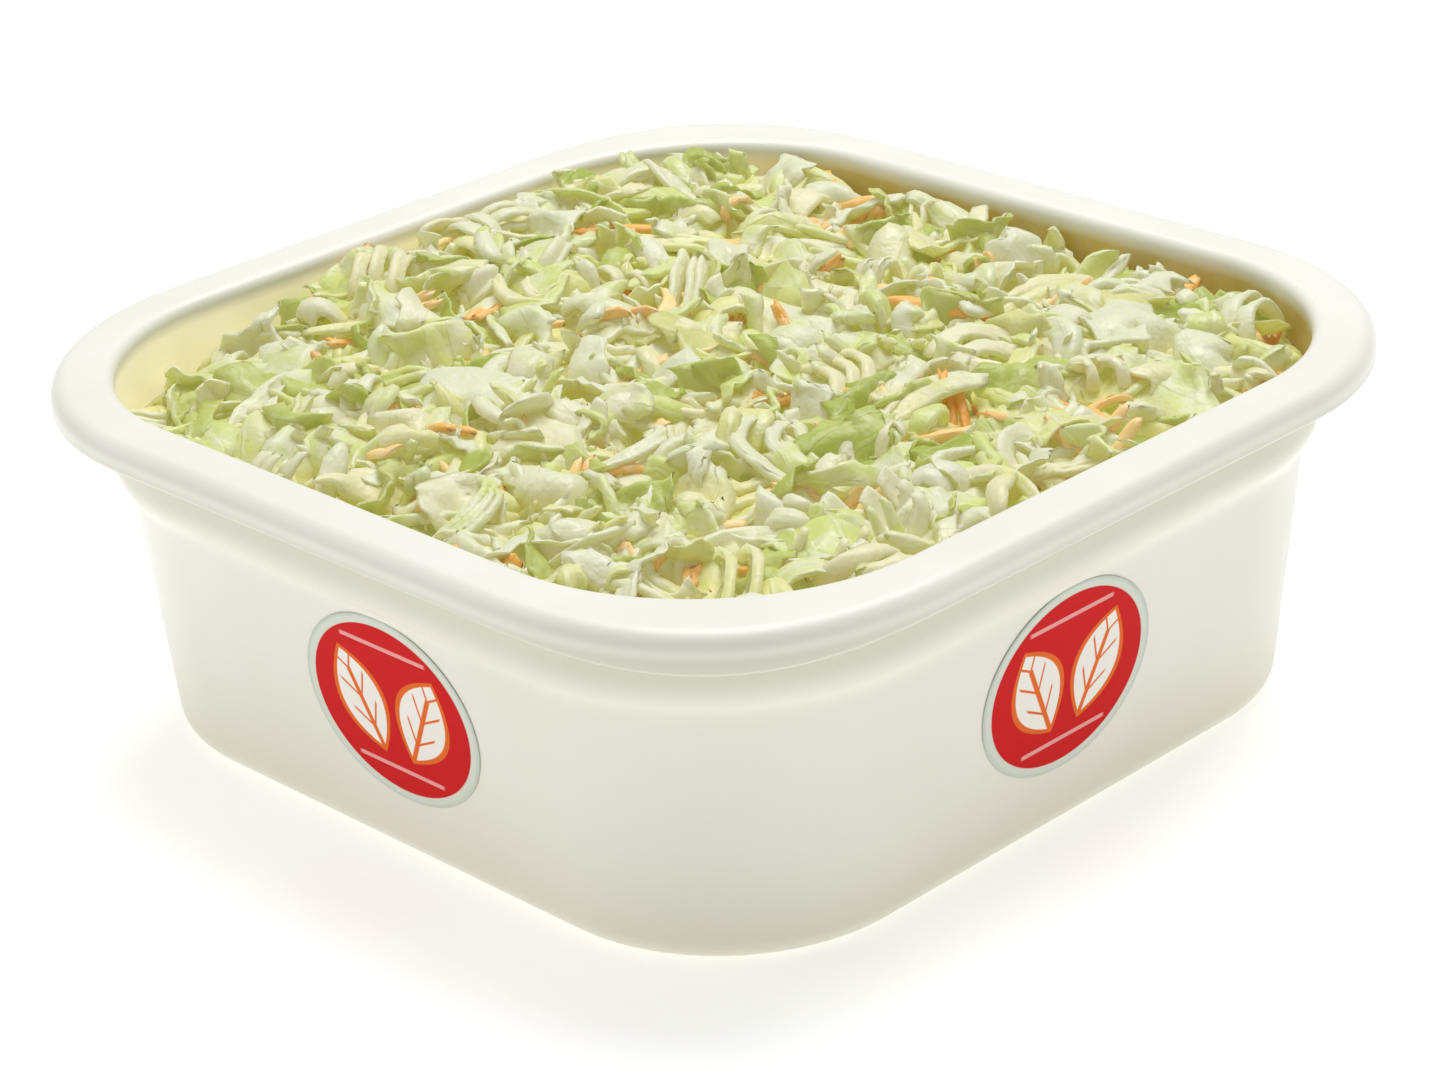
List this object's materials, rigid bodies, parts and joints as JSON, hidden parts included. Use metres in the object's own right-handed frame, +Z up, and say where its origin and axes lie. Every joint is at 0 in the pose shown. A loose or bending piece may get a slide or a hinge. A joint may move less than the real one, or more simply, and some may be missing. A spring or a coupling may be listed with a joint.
{
  "type": "tub of coleslaw",
  "caption": "Square thin-walled plastic tub with rounded corners and a rolled rim, filled to just below the rim with shredded cabbage and carrot, with an oval sticker on two sides.",
  "frame": {"origin": "under the middle of the tub, on the surface it stands on", "axes": "+Z up out of the mouth, the tub's sides facing along X and Y, the two stickers on the -Y and +X sides"},
  "size_m": [0.14, 0.14, 0.049],
  "materials": {
    "tub": "ivory moulded polypropylene, smooth and slightly translucent, with a soft sheen",
    "slaw": "wet shredded white cabbage with pale green leaf and orange carrot, glossy with dressing",
    "sticker": "coated paper, red field with pale shapes inside a clear border"
  },
  "bodies": {
    "root": {"tub": "tub", "slaw": "slaw", "sticker_left": "sticker", "sticker_right": "sticker"}
  },
  "joints": []
}
